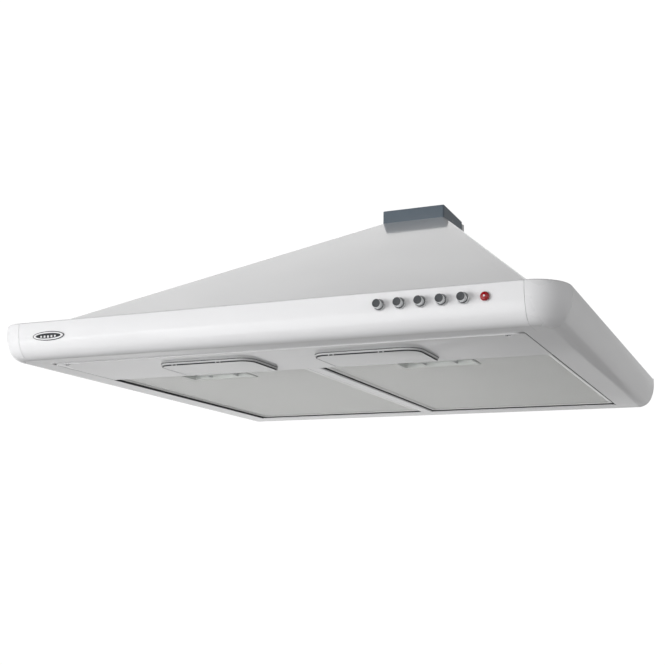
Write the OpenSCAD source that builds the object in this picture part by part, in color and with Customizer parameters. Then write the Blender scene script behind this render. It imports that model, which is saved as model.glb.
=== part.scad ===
// Wall-hung kitchen cooker hood: a pyramid canopy on a rounded rim, with two grease filters,
// two lamps and a fan. Millimetres. +X is to the right, +Y points to the wall and +Z is up.
// The origin is the centre of the four wall screws, on the back panel's wall face.

/* [Hood body] */
// Overall width of the hood
hood_w = 600; // [560:1:640]
// Overall depth from the front face to the wall
hood_d = 555; // [540:1:580]
// Height of the rim above the underside
rim_h = 36.5; // [34:0.5:44]
// Thickness of the painted steel sheet
sheet_t = 1.2; // [1:0.1:1.5]

/* [Rim profile] */
// Height of the upright band at the top of the rim
band_h = 6.5; // [4:0.5:8]
// Radius of the gentle upper curve
upper_r = 45; // [40:1:50]
// Angle over which the gentle curve turns
upper_turn = 27; // [24:1:30]
// Radius of the front corners seen from above
corner_r = 34; // [30:1:38]

/* [Underside] */
// Width of the side flanges
side_inset = 45; // [42:0.5:48]
// Depth of the front flange
front_inset = 41.5; // [38:0.5:44]
// Depth of the rear rail
rear_inset = 32; // [28:0.5:36]
// Distance from the front face to the filters
filter_front = 153.8; // [145:0.1:160]
// Width of the rail between the filters
rail_w = 16.6; // [14:0.1:20]
// Height of the lips that stiffen the flanges
lip_h = 9; // [8:0.5:12]

/* [Canopy] */
// Width of the flat ledge around the pyramid
ledge_w = 30; // [26:1:36]
// Height at which the pyramid is cut off
top_z = 258; // [240:1:280]
// Width of the duct collar
collar_w = 89.2; // [80:0.2:100]
// Depth of the duct collar
collar_d = 84.4; // [76:0.2:86]
// Height of the duct collar
collar_h = 18; // [14:1:26]
// Space between the collar and the wall
collar_gap = 8.5; // [8:0.5:12]
// Wall thickness of the duct collar
collar_t = 2.4; // [2:0.1:3]

/* [Filters] */
// Height of the filter cassettes
filter_h = 9; // [8:0.5:11]
// Height of the filters above the underside
filter_lift = 1.5; // [1:0.1:2.5]
// Width of the filter frame's bars
frame_bar = 5; // [4:0.5:8]
// Width of the handle pocket
pocket_w = 83; // [70:1:90]
// Depth of the handle pocket
pocket_d = 35; // [30:1:40]

/* [Lamps] */
// Distance of each lamp cover from the middle of the hood
lens_x = 89.5; // [85:0.5:96]
// Width of a lamp cover
lens_w = 113.5; // [108:0.5:124]
// Depth of a lamp cover
lens_d = 66; // [58:1:70]
// How far a lamp cover stands below the panel
lens_h = 3.2; // [2.8:0.2:6]
// Distance from the front face to the lamp covers
lens_front = 74; // [70:1:80]

/* [Controls] */
// Place of the middle button, right of centre
button_x = 174.1; // [165:0.1:185]
// Distance between buttons
button_pitch = 19.35; // [18:0.05:21]
// Height of the buttons above the underside
button_z = 24.2; // [23:0.1:28]
// Radius of a button
button_r = 4.1; // [4:0.1:5]
// How far a button stands out of the panel
button_out = 7.5; // [6:0.5:9]

/* [Fan] */
// Radius of the fan wheel
wheel_r = 58; // [50:1:60]
// Height of the fan shaft above the underside
fan_z = 112; // [108:1:118]
// Distance of the fan shaft from the wall
fan_y = 92; // [91:0.5:94]
// Half the width of the fan housing
fan_half = 45; // [42:1:48]
// Number of blades in the fan wheel
blades = 30; // [20:1:36]

/* [Wall fixing] */
// Height of the screw pattern's centre above the underside
screw_centre_z = 100; // [90:1:110]
// Distance between wall screws across the hood
screw_dx = 260; // [200:1:280]
// Distance between wall screws up the wall
screw_dz = 60; // [40:1:70]
// Radius of a wall screw hole
screw_r = 3; // [2.5:0.1:4]

/* [Hidden] */
$fn = 64;

gap = 0.3;                                      // clearance between parts that move past each other
fit = 0.05;                                     // radial clearance of a pin or shaft in its bore
cut = 1;                                        // overshoot of a cutting solid
half_w = hood_w / 2;
arc_z = rim_h - band_h;                         // height at which the rim's outline starts to curve
turn_z = arc_z - upper_r * sin(upper_turn);     // height at which the tighter curve starts
lower_r = turn_z / (1 - sin(upper_turn));       // radius that brings the outline flat at the underside
turn_u = upper_r * (1 - cos(upper_turn));       // inset at which the tighter curve starts
lower_u = turn_u + lower_r * cos(upper_turn);   // inset of the tighter curve's centre

top_half = collar_w / 2;                        // half width of the pyramid's cut-off top
top_front = -collar_gap - collar_d;             // front edge of the cut-off top
base_half = half_w - ledge_w;
base_front = -hood_d + ledge_w;
slope_x = (base_half - top_half) / (top_z - rim_h);    // run of the side slopes for each mm up
slope_y = (top_front - base_front) / (top_z - rim_h);  // run of the front slope for each mm up

flange_x = half_w - side_inset;                 // inner edge of the side flanges
filter_y0 = -hood_d + filter_front;             // rear edge of the lamp panel
rail_y = -rear_inset;                           // front edge of the rear rail
frame_x0 = rail_w / 2 + 1.2;                    // inner end of a filter
frame_x1 = flange_x - 1.2;                      // outer end of a filter
frame_y0 = filter_y0 + 0.5;                     // front face of a filter
frame_y1 = rail_y - 2.5;                        // rear face of a filter
pivot_y = frame_y1 - 2.5;                       // hinge axis of a filter
pivot_z = 4;
pin_r = 1.5;
pocket_x = 130;                                 // place of the handle pocket, from the middle
slider_w = 46;
tongue_w = 24;
tongue_z = 7.2;                                 // underside of the latch tongue
sleeve_r = button_r + 0.8;                      // outer radius of the button sleeves
indicator_r = 3.5;
screw_x = 239;                                  // places of the lamp panel's screws
screw_y = -hood_d + 48;
slider_d = 12;
lens_y0 = -hood_d + lens_front;
lens_y1 = lens_y0 + lens_d;                     // rear edge of a lamp cover, which is its hinge line
lamp_z = 25;                                    // height of the bulb's axis
hole_w = lens_w - 14;                           // opening in the lamp panel under a cover
hole_d = lens_d - 12;
spindle_r = 1.2;
collar_mid_y = top_front + collar_d / 2;
flap_z = top_z + 6;                             // height of the damper flaps' axes
flap_off = 2.6;                                 // distance of a flap's axis from the collar's middle
shaft_r = 4;
housing_top = 196;                              // height at which the fan housing's outlet ends
gland_x = -92;                                  // place of the cable gland on the left slope
gland_y = -78;
gland_r = 4.5;
slope_a = atan(1 / slope_x);                    // steepness of the side slopes
painted = [0.93, 0.93, 0.94];
grey = [0.70, 0.70, 0.71];
slate = [0.33, 0.37, 0.41];
chrome = [0.75, 0.76, 0.78];
mesh_grey = [0.78, 0.79, 0.76];

// Puts parts that are measured from the underside into the frame of the wall screws.
module hung() { translate([0, 0, -screw_centre_z]) children(); }

// Mirrors a part that is drawn on the right to the side asked for: 1 is right, -1 is left.
module on_side(side) { if (side < 0) mirror([1, 0, 0]) children(); else children(); }

// Extrudes a (y, z) outline along X, between two places.
module along_x(x0, x1) { translate([x0, 0, 0]) rotate([90, 0, 90]) linear_extrude(x1 - x0) children(); }

// Extrudes an (x, z) outline along Y, between two places.
module along_y(y0, y1) { translate([0, y1, 0]) rotate([90, 0, 0]) linear_extrude(y1 - y0) children(); }

module block(x0, x1, y0, y1, z0, z1) { translate([x0, y0, z0]) cube([x1 - x0, y1 - y0, z1 - z0]); }

// ---- rim ----
// Points (inset, height) of the rim's outline, moved inwards by t.
function rim_curve(t) = concat(
    [[t, rim_h], [t, arc_z]],
    [for (a = [4.5 : 4.5 : upper_turn]) [upper_r - (upper_r - t) * cos(a), arc_z - (upper_r - t) * sin(a)]],
    [for (a = [upper_turn + 9 : 9 : 90])
        [lower_u - (lower_r - t) * cos(a), lower_r - (lower_r - t) * sin(a)]]);
function reversed(list) = [for (i = [len(list) - 1 : -1 : 0]) list[i]];
function rim_section(flange) = concat(
    rim_curve(0), [[flange, 0], [flange, sheet_t]], reversed(rim_curve(sheet_t)));

module front_panel() {
    color(painted) hung() difference() {
        along_x(-half_w + corner_r, half_w - corner_r)
            polygon([for (p = rim_section(front_inset)) [p[0] - hood_d, p[1]]]);
        for (i = [-2 : 2]) at_button(i) bore_y(sleeve_r, -cut, upper_r);
        at_button(3) bore_y(indicator_r + fit, -cut, upper_r);
    }
}

module side_panel(side) {
    color(painted) hung() on_side(side) difference() {
        union() {
            along_y(-hood_d + front_inset, -sheet_t)
                polygon([for (p = rim_section(side_inset)) [half_w - p[0], p[1]]]);
            along_y(-hood_d + corner_r, -hood_d + front_inset)
                polygon([for (p = rim_section(corner_r)) [half_w - p[0], p[1]]]);
            block(flange_x, flange_x + sheet_t, filter_y0, rail_y, sheet_t, lip_h);
        }
        translate([flange_x - cut, pivot_y, pivot_z]) rotate([0, 90, 0]) cylinder(r = pin_r + fit, h = 4);
    }
}

module corner_cap(side) {
    color(painted) hung() on_side(side)
        translate([half_w - corner_r, -hood_d + corner_r, 0]) rotate([0, 0, -90])
            rotate_extrude(angle = 90) polygon([for (p = rim_section(corner_r)) [corner_r - p[0], p[1]]]);
}

module badge_plate() {
    color(chrome) hung() translate([-227.5, -hood_d, 20.6]) rotate([90, 0, 0]) linear_extrude(1.2) {
        square([30, 9.4], center = true);
        for (s = [-1, 1]) translate([s * 15, 0]) circle(4.7);
    }
}

// ---- canopy ----
// Corners of the pyramid between two heights, moved inwards by o.
function pyramid_ring(z, o, back) = let (
    x = base_half - (z - rim_h) * slope_x - o,
    y = base_front + (z - rim_h) * slope_y + o)
    [[-x, y, z], [x, y, z], [x, back, z], [-x, back, z]];
module pyramid(z0, z1, o, back) {
    polyhedron(
        concat(pyramid_ring(z0, o, back), pyramid_ring(z1, o, back)),
        [[0, 1, 2, 3], [7, 6, 5, 4], [0, 4, 5, 1], [1, 5, 6, 2], [2, 6, 7, 3], [3, 7, 4, 0]]);
}

// Outline of the rim seen from above, moved inwards by o.
module rim_plan(o) {
    translate([-half_w + corner_r, -hood_d + o]) square([hood_w - 2 * corner_r, hood_d - o - sheet_t]);
    translate([-half_w + o, -hood_d + corner_r]) square([hood_w - 2 * o, hood_d - corner_r - sheet_t]);
    for (s = [-1, 1]) translate([s * (half_w - corner_r), -hood_d + corner_r]) circle(corner_r - o);
}

module canopy_shell() {
    color(painted) hung() difference() {
        union() {
            pyramid(rim_h, top_z, 0, -sheet_t);
            translate([0, 0, rim_h - sheet_t]) linear_extrude(sheet_t) rim_plan(sheet_t + 0.05);
        }
        pyramid(rim_h - 2 * cut, top_z + 2 * cut, sheet_t * 1.4, cut);
        at_gland() translate([0, 0, -10]) cylinder(r = gland_r + 3.05, h = 20);
    }
}

module back_panel() {
    outline = concat(
        [for (p = reversed(rim_curve(0))) [half_w - p[0], p[1]]],
        [[base_half, rim_h], [top_half, top_z], [top_half, top_z + collar_h - 2]]);
    color(painted) hung() difference() {
        along_y(-sheet_t, 0) polygon(concat(outline, [for (p = reversed(outline)) [-p[0], p[1]]]));
        for (x = [-1, 1], z = [-1, 1])
            translate([x * screw_dx / 2, cut, screw_centre_z + z * screw_dz / 2])
                rotate([90, 0, 0]) cylinder(r = screw_r, h = 4);
    }
}

module rear_hanger() {
    color(grey) hung() difference() {
        block(-top_half, top_half, -collar_gap, -sheet_t, top_z, top_z + collar_h - 3);
        block(-top_half + 3, top_half - 3, -collar_gap + 2, cut, top_z + 1.5, top_z + collar_h);
    }
}

// ---- underside ----
module rear_rail() {
    color(painted) hung() {
        block(-flange_x, flange_x, rail_y, -sheet_t, 0, sheet_t);
        block(-flange_x, flange_x, rail_y, rail_y + sheet_t, sheet_t, lip_h);
    }
}

module centre_rail() {
    color(painted) hung() difference() {
        block(-rail_w / 2, rail_w / 2, filter_y0, rail_y, 0, lip_h + 2);
        translate([-rail_w / 2 + sheet_t, filter_y0 - cut, sheet_t])
            cube([rail_w - 2 * sheet_t, rail_y - filter_y0 + 2 * cut, 2 * lip_h]);
        translate([-rail_w, pivot_y, pivot_z]) rotate([0, 90, 0]) cylinder(r = pin_r + fit, h = 2 * rail_w);
    }
}

module lamp_panel() {
    x = flange_x - 0.5;
    y0 = -hood_d + front_inset + 0.5;
    y1 = filter_y0 - 0.5;
    color(painted) hung() difference() {
        union() {
            block(-x, x, y0, y1, 0, sheet_t);
            block(-x, x, y1 - sheet_t, y1, sheet_t, 7);
        }
        for (s = [-1, 1]) translate([s * lens_x - hole_w / 2, lens_y1 - 1 - hole_d, -cut])
            cube([hole_w, hole_d, 4]);
        for (s = [-1, 1]) translate([s * screw_x, screw_y, -cut]) cylinder(r = 1.8, h = 4);
    }
}

// Angle plates over the front flange that the lamp panel is screwed to.
module panel_brackets() {
    color(grey) hung() for (s = [-1, 1]) translate([s * screw_x, screw_y, sheet_t]) difference() {
        union() {
            translate([-10, -13, 0]) cube([20, 22, 1.5]);
            translate([-10, 7.5, 1.5]) cube([20, 1.5, 6]);
        }
        translate([0, 0, -cut]) cylinder(r = 1.75, h = 4);
    }
}

module panel_screws() {
    color(chrome) hung() for (s = [-1, 1]) translate([s * screw_x, screw_y, 0]) difference() {
        union() {
            translate([0, 0, -1.4]) cylinder(r = 3.4, h = 1.4);
            cylinder(r = 1.7, h = 8);
        }
        translate([0, 0, -1.9]) {
            cube([4.4, 0.8, 2], center = true);
            cube([0.8, 4.4, 2], center = true);
        }
    }
}

// ---- filters ----
module filter_frame(side) {
    color(chrome) hung() on_side(side) {
        difference() {
            block(frame_x0, frame_x1, frame_y0, frame_y1, filter_lift, filter_lift + filter_h);
            block(frame_x0 + frame_bar, frame_x1 - frame_bar, frame_y0 + frame_bar, frame_y1 - frame_bar,
                filter_lift - cut, filter_lift + filter_h + cut);
            tongue_slot();
        }
        for (x = [[frame_x0 - 3.2, frame_x0 + cut], [frame_x1 - cut, frame_x1 + 3.2]])
            translate([x[0], pivot_y, pivot_z]) rotate([0, 90, 0]) cylinder(r = pin_r, h = x[1] - x[0]);
    }
}

// The slot in the frame and the cup that the latch tongue slides in.
module tongue_slot() {
    block(pocket_x - tongue_w / 2 - gap, pocket_x + tongue_w / 2 + gap, frame_y0 - cut, frame_y0 + 8,
        tongue_z - gap, tongue_z + 1 + gap);
}

// Cuts the handle pocket out of a layer inside the filter frame.
module around_pocket(side) {
    hung() on_side(side) difference() {
        children();
        block(pocket_x - pocket_w / 2, pocket_x + pocket_w / 2,
            frame_y0, frame_y0 + frame_bar + pocket_d, 0, filter_lift + filter_h);
    }
}

module filter_mesh(side) {
    color(mesh_grey) around_pocket(side)
        block(frame_x0 + frame_bar, frame_x1 - frame_bar, frame_y0 + frame_bar, frame_y1 - frame_bar,
            filter_lift + 0.3, filter_lift + 1.3);
}

// The folded layer that catches the grease: a zigzag across the filter.
module filter_core(side) {
    folds = 30;
    foil = 0.6;
    x0 = frame_x0 + frame_bar;
    pitch = (frame_x1 - frame_bar - x0) / folds;
    z0 = filter_lift + 1.4;
    zigzag = [for (i = [0 : folds]) [x0 + i * pitch, z0 + (i % 2) * 5]];
    color(mesh_grey) around_pocket(side) along_y(frame_y0 + frame_bar, frame_y1 - frame_bar)
        polygon(concat(zigzag, [for (p = reversed(zigzag)) [p[0], p[1] + foil]]));
}

module handle_cup(side) {
    y0 = frame_y0 + frame_bar;
    wall = 1.2;
    color(grey) hung() on_side(side) difference() {
        block(pocket_x - pocket_w / 2, pocket_x + pocket_w / 2, y0, y0 + pocket_d,
            filter_lift + 0.3, filter_lift + 8);
        block(pocket_x - pocket_w / 2 + wall, pocket_x + pocket_w / 2 - wall, y0 + wall,
            y0 + pocket_d - wall, -cut, filter_lift + 8 - wall);
        tongue_slot();
    }
}

// The slider of a filter latch, with a finger hole. Its tongue ends just short of the lamp panel's lip.
module latch(side) {
    y0 = frame_y0 + frame_bar + 2;
    color(slate) hung() on_side(side) {
        difference() {
            block(pocket_x - slider_w / 2, pocket_x + slider_w / 2, y0, y0 + slider_d, 2.6, 7.8);
            block(pocket_x - 11, pocket_x + 11, y0 + 3, y0 + slider_d - 3, 0, 6);
        }
        translate([pocket_x - tongue_w / 2, frame_y0 - 0.4, tongue_z]) cube([tongue_w, frame_bar + 3.4, 1]);
    }
}

module latch_spring(side) {
    turns = 5;
    y0 = frame_y0 + frame_bar + 2 + slider_d;
    for (s = [-1, 1])
        color(chrome) hung() on_side(side) translate([pocket_x + s * 17, y0 + 0.3, 5.2]) rotate([-90, 0, 0])
            linear_extrude(pocket_d - slider_d - 4, twist = 360 * turns, slices = 10 * turns, $fn = 5)
                translate([1.6, 0]) circle(0.5);
}

// ---- lamps ----
// Outline of a lamp cover with round front corners, moved inwards by o.
module cover_plan(o) {
    r = 16;
    translate([-lens_w / 2 + o, r]) square([lens_w - 2 * o, lens_d - r - o]);
    translate([-lens_w / 2 + r, o]) square([lens_w - 2 * r, lens_d / 2]);
    for (s = [-1, 1]) translate([s * (lens_w / 2 - r), r]) circle(r - o);
}
module lamp_cover(side) {
    wall = 1.2;
    color([0.85, 0.87, 0.88, 0.6]) hung() translate([side * lens_x, lens_y0, -lens_h]) {
        difference() {
            linear_extrude(lens_h - gap) cover_plan(0);
            translate([0, 0, wall]) linear_extrude(lens_h) cover_plan(wall);
        }
        for (s = [-1, 1]) translate([s * 38 - 5, lens_d - 4.5, 1]) cube([10, 2.5, lens_h + 3.5]);
    }
}

module lamp_box(side) {
    x = side * lens_x;
    depth = hole_d + 4;
    color(grey) hung() difference() {
        block(x - 64, x + 64, lens_y1 - depth, lens_y1 + 1, sheet_t, 46);
        block(x - 63, x + 63, lens_y1 - depth + 1, lens_y1, 0, 45);
    }
}

module lamp_holder(side) {
    color(painted) hung() translate([side * lens_x - 63, lens_y1 - hole_d / 2 - 2, lamp_z])
        rotate([0, 90, 0]) difference() {
            cylinder(r = 13, h = 28);
            translate([0, 0, 6]) cylinder(r = 8, h = 30);
        }
}

// A candle bulb with its screw cap, lying along the lamp box.
module bulb(side) {
    color([0.95, 0.94, 0.88, 0.8]) hung() translate([side * lens_x - 57, lens_y1 - hole_d / 2 - 2, lamp_z])
        rotate([0, 90, 0]) rotate_extrude() polygon(concat(
            [[0, 0], [3, 0], [6.8, 3], [6.8, 24], [8.5, 28]],
            [for (a = [-50 : 20 : 70]) [17 * cos(a), 62 + 34 * sin(a)]], [[0, 96]]));
}

// ---- controls ----
module at_button(i) { translate([button_x + i * button_pitch, -hood_d, button_z]) children(); }
module bore_y(r, y0, y1) { translate([0, y1, 0]) rotate([90, 0, 0]) cylinder(r = r, h = y1 - y0); }

module button(n) {
    color(slate) hung() at_button(n - 3) {
        bore_y(button_r, -button_out, 1.6);
        bore_y(2.4, 1.6, 17);
    }
}

// The tubes that line the button holes, each with a narrow flange on the front face.
module button_sleeves() {
    color(chrome) hung() for (i = [-2 : 2]) at_button(i) difference() {
        union() {
            bore_y(sleeve_r + 0.5, -0.8, 0);
            bore_y(sleeve_r, 0, 5);
        }
        bore_y(button_r + gap, -2, 6);
    }
}

module switch_bank() {
    color(slate) hung() difference() {
        translate([button_x - 2.6 * button_pitch, -hood_d + 6, 17]) cube([5.2 * button_pitch, 18, 17.5]);
        for (i = [-2 : 2]) at_button(i) bore_y(2.4 + fit, 0, 22);
    }
}

module indicator_lens() {
    rim_r = 4.1;
    color([0.6, 0.02, 0.05]) hung() at_button(3) rotate([90, 0, 0]) rotate_extrude()
        polygon(concat([[0, -8], [indicator_r, -8], [indicator_r, 0], [rim_r, 0]],
            [for (a = [0 : 15 : 90]) [rim_r * cos(a), 0.8 + 2.4 * sin(a)]]));
}

module indicator_lamp() {
    color(slate) hung() at_button(3) bore_y(5, 8, 20);
}

// ---- duct collar and damper ----
module duct_collar() {
    ledge_z = flap_z - 2.9;
    ledge = collar_t + 3;
    color(slate) hung() difference() {
        block(-top_half, top_half, top_front, -collar_gap, top_z, top_z + collar_h);
        translate([-top_half + collar_t, top_front + collar_t, ledge_z])
            cube([collar_w - 2 * collar_t, collar_d - 2 * collar_t, collar_h]);
        translate([-top_half + ledge, top_front + ledge, top_z - cut])
            cube([collar_w - 2 * ledge, collar_d - 2 * ledge, collar_h]);
        for (s = [-1, 1]) translate([-60, collar_mid_y + s * flap_off, flap_z])
            rotate([0, 90, 0]) cylinder(r = spindle_r, h = 120);
    }
}

module damper_spindles() {
    color(chrome) hung() for (s = [-1, 1]) translate([-top_half, collar_mid_y + s * flap_off, flap_z])
        rotate([0, 90, 0]) cylinder(r = spindle_r, h = collar_w);
}

// A flap of the damper: -1 is the front flap, 1 is the rear flap.
module damper_flap(s) {
    half = collar_w / 2 - collar_t - 0.6;
    reach = collar_d / 2 - collar_t - 0.6;
    color(mesh_grey) hung() translate([0, collar_mid_y, flap_z]) difference() {
        union() {
            mirror([0, s < 0 ? 1 : 0, 0]) block(-half, half, flap_off, reach, -0.5, 0.5);
            translate([-half, s * flap_off, 0]) rotate([0, 90, 0]) cylinder(r = 2.2, h = 2 * half);
        }
        translate([-60, s * flap_off, 0]) rotate([0, 90, 0]) cylinder(r = spindle_r + fit, h = 120);
    }
}

// ---- fan ----
// Outline of the fan's scroll in (y, z), moved outwards by t: a spiral that opens into an upright outlet.
function scroll(t) = concat(
    [[-fan_y - t, fan_z + wheel_r + 8 + t]],
    [for (a = [100 : 10 : 360]) let (r = wheel_r + 8 + (a - 90) / 270 * 14 + t)
        [-fan_y + r * cos(a), fan_z + r * sin(a)]],
    [[-fan_y + wheel_r + 22 + t, housing_top], [-fan_y - t, housing_top]]);

module fan_housing() {
    color(grey) hung() difference() {
        along_x(-fan_half + sheet_t, fan_half - sheet_t) polygon(scroll(sheet_t));
        along_x(-fan_half, fan_half) polygon(scroll(0));
        block(-fan_half, fan_half, -fan_y, -fan_y + wheel_r + 22, housing_top - cut, housing_top + cut);
    }
}

module fan_cheek_motor() {
    color(grey) hung() difference() {
        along_x(-fan_half, -fan_half + sheet_t) polygon(scroll(sheet_t));
        translate([-fan_half - cut, -fan_y, fan_z]) rotate([0, 90, 0]) cylinder(r = 10, h = 5);
    }
}

module fan_cheek_inlet() {
    inlet_r = 46;
    color(grey) hung() {
        difference() {
            along_x(fan_half - sheet_t, fan_half) polygon(scroll(sheet_t));
            translate([fan_half - 4, -fan_y, fan_z]) rotate([0, 90, 0]) cylinder(r = inlet_r, h = 8);
        }
        translate([fan_half, -fan_y, fan_z]) rotate([0, 90, 0])
            rotate_extrude() translate([inlet_r, 0]) square([6, 4]);
    }
}

module outlet_neck() {
    y0 = -fan_y - sheet_t;
    y1 = -fan_y + wheel_r + 22 + sheet_t;
    neck_x = 40;
    neck_y0 = -86;
    neck_y1 = -15.5;
    color(grey) hung() difference() {
        union() {
            block(-fan_half, fan_half, y0, y1, housing_top, housing_top + 2);
            block(-neck_x, neck_x, neck_y0, neck_y1, housing_top + 2, top_z);
        }
        block(-neck_x + 1.6, neck_x - 1.6, neck_y0 + 1.6, neck_y1 - 1.6, housing_top - cut, top_z + cut);
    }
}

// Two angle plates that hang the fan housing from the back panel.
module fan_brackets() {
    t = 1.6;
    color(grey) hung() for (s = [-1, 1]) on_side(s) translate([fan_half, 0, housing_top - 24]) {
        translate([0, -60, 0]) cube([t, 60 - sheet_t, 22]);
        translate([0, -sheet_t - t, 0]) cube([20, t, 22]);
    }
}

module on_shaft(x) { translate([x, -fan_y, fan_z]) rotate([0, 90, 0]) children(); }

module fan_wheel() {
    x0 = -fan_half + 8;
    x1 = fan_half - 8;
    color(mesh_grey) hung() {
        difference() {
            union() {
                on_shaft(x0) cylinder(r = wheel_r, h = 2);
                on_shaft(x0) cylinder(r = 11, h = 18);
            }
            on_shaft(x0 - cut) cylinder(r = shaft_r, h = 30);
        }
        on_shaft(x1 - 3) rotate_extrude() translate([wheel_r - 10, 0]) square([10, 3]);
        for (i = [0 : blades - 1]) on_shaft(x0 + 1) rotate([0, 0, i * 360 / blades])
            translate([wheel_r - 5, 0, 0]) rotate([0, 0, 35])
                translate([-3.5, -0.5, 0]) cube([7, 1, x1 - x0 - 2.5]);
    }
}

module fan_shaft() { color(chrome) hung() on_shaft(-fan_half - 52) cylinder(r = shaft_r, h = 75); }

module motor_body() {
    length = 44;
    color(slate) hung() difference() {
        union() {
            on_shaft(-fan_half - length) cylinder(r = 36, h = length);
            on_shaft(-fan_half - length - 6) cylinder(r = 13, h = 6);
        }
        on_shaft(-fan_half - length - 7) cylinder(r = 8, h = length + 9);
    }
}

module motor_bearings() {
    color(chrome) hung() for (x = [-fan_half - 49, -fan_half - 12]) difference() {
        on_shaft(x) cylinder(r = 8, h = 11);
        on_shaft(x - cut) cylinder(r = shaft_r + fit, h = 14);
    }
}

module capacitor() {
    color(slate) hung() translate([90, -16 - sheet_t, 92]) {
        cylinder(r = 16, h = 52);
        translate([-10, 0, 0]) cube([20, 16, 8]);
    }
}

module terminal_box() {
    color(painted) hung() difference() {
        block(-186, -126, -24 - sheet_t, -sheet_t, 82, 118);
        block(-184, -128, -22 - sheet_t, 0, 84, 116);
    }
}

// ---- cable gland ----
module at_gland() {
    gland_z = rim_h + (base_half + gland_x) / slope_x;
    translate([gland_x, gland_y, gland_z]) rotate([0, -slope_a, 0]) children();
}

module cable_gland() {
    color(slate) hung() at_gland() difference() {
        union() {
            translate([0, 0, -6]) cylinder(r = gland_r + 3, h = 20);
            cylinder(r = gland_r + 6, h = 5, $fn = 6);
            translate([0, 0, -6]) cylinder(r = gland_r + 5, h = 4);
        }
        translate([0, 0, -7]) cylinder(r = gland_r, h = 22);
    }
}

canopy_shell();
back_panel();
rear_hanger();
front_panel();
side_panel(-1);  // side_panel_left
side_panel(1);  // side_panel_right
corner_cap(-1);  // corner_cap_left
corner_cap(1);  // corner_cap_right
rear_rail();
centre_rail();
lamp_panel();
panel_brackets();
panel_screws();
filter_frame(-1);  // filter_frame_left
filter_frame(1);  // filter_frame_right
filter_mesh(-1);  // filter_mesh_left
filter_mesh(1);  // filter_mesh_right
filter_core(-1);  // filter_core_left
filter_core(1);  // filter_core_right
handle_cup(-1);  // handle_cup_left
handle_cup(1);  // handle_cup_right
latch(-1);  // latch_left
latch(1);  // latch_right
latch_spring(-1);  // latch_spring_left
latch_spring(1);  // latch_spring_right
lamp_cover(-1);  // lamp_cover_left
lamp_cover(1);  // lamp_cover_right
lamp_box(-1);  // lamp_box_left
lamp_box(1);  // lamp_box_right
lamp_holder(-1);  // lamp_holder_left
lamp_holder(1);  // lamp_holder_right
bulb(-1);  // bulb_left
bulb(1);  // bulb_right
button(1);  // button_1
button(2);  // button_2
button(3);  // button_3
button(4);  // button_4
button(5);  // button_5
button_sleeves();
switch_bank();
indicator_lens();
indicator_lamp();
badge_plate();
duct_collar();
damper_flap(-1);  // damper_flap_front
damper_flap(1);  // damper_flap_rear
damper_spindles();
fan_housing();
fan_cheek_motor();
fan_cheek_inlet();
outlet_neck();
fan_brackets();
fan_wheel();
fan_shaft();
motor_body();
motor_bearings();
capacitor();
terminal_box();
cable_gland();
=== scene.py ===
"""Looks of a wall-hung cooker hood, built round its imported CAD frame.

Shapes are in millimetres, with +Y to the wall and +Z up. Lights and camera are in metres."""

import math

import bmesh
import bpy
from mathutils import Matrix, Vector


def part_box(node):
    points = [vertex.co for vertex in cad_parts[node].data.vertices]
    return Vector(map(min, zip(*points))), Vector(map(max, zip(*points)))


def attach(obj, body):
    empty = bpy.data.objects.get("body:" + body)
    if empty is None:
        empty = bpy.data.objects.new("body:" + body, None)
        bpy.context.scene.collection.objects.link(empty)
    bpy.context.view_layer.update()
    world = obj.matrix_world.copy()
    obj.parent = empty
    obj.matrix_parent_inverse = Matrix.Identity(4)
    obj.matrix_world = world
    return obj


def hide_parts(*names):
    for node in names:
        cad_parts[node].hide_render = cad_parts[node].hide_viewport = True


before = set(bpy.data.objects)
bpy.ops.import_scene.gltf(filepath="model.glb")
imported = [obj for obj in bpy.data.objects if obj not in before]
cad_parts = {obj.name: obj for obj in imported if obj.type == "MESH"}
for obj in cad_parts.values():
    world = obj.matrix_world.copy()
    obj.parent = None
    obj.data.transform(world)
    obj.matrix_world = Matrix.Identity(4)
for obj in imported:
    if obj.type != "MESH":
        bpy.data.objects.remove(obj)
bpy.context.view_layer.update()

MM = 0.001
SIDES = {"left": -1, "right": 1}


def mm(box):
    """The two corners of a box from the frame, in millimetres."""
    return [corner / MM for corner in box]


def middle(box):
    return (box[0] + box[1]) / 2


# ---- measures, from the frame ----
PANEL = mm(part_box("front_panel"))
SIDE = mm(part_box("side_panel_right"))
BACK = mm(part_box("back_panel"))
COLLAR = mm(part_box("duct_collar"))
LAMP_PANEL = mm(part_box("lamp_panel"))
REAR_RAIL = mm(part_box("rear_rail"))
CENTRE_RAIL = mm(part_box("centre_rail"))
COVERS = {name: mm(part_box(f"lamp_cover_{name}")) for name in SIDES}
CUPS = {name: mm(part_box(f"handle_cup_{name}")) for name in SIDES}
BUTTONS = {f"button_{n}": mm(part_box(f"button_{n}")) for n in range(1, 6)}
INDICATOR = mm(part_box("indicator_lens"))

UNDER = PANEL[0].z  # height of the underside
RIM_TOP = PANEL[1].z
FRONT = PANEL[0].y
HALF = SIDE[1].x  # half the hood's width
CORNER = HALF - PANEL[1].x  # radius of the front corners seen from above
SHEET = BACK[1].y - BACK[0].y
FLANGE_X = HALF - SIDE[0].x
FLANGE_Y = PANEL[1].y - FRONT
LIP_X = HALF - FLANGE_X  # where the side panels' flanges end
BUTTON_R = (BUTTONS["button_1"][1].x - BUTTONS["button_1"][0].x) / 2
TOP_Z = COLLAR[0].z
TOP_HALF, TOP_FRONT = COLLAR[1].x, COLLAR[0].y

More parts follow.
